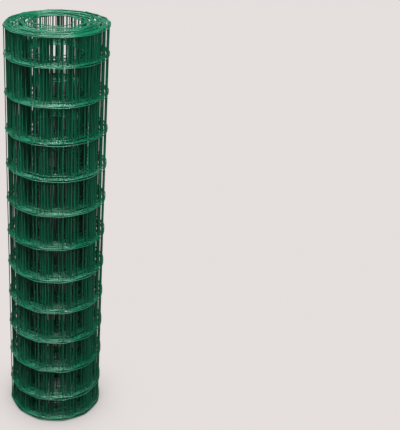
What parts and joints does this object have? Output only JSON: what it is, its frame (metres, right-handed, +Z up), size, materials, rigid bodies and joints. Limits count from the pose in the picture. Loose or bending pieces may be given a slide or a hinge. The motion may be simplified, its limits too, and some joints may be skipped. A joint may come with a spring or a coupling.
{
  "type": "roll of welded wire fencing",
  "caption": "Roll of green plastic-coated welded wire mesh fencing standing on end, wound in close turns around a hollow core.",
  "frame": {"origin": "middle of the lower end, on the floor that the roll stands on", "axes": "+Z up along the roll's axis"},
  "size_m": [0.2799, 0.28, 1.1824],
  "materials": {
    "green_coated_wire": "glossy dark green plastic coating over steel wire"
  },
  "bodies": {
    "root": {"fence_roll": "green_coated_wire"}
  },
  "joints": []
}
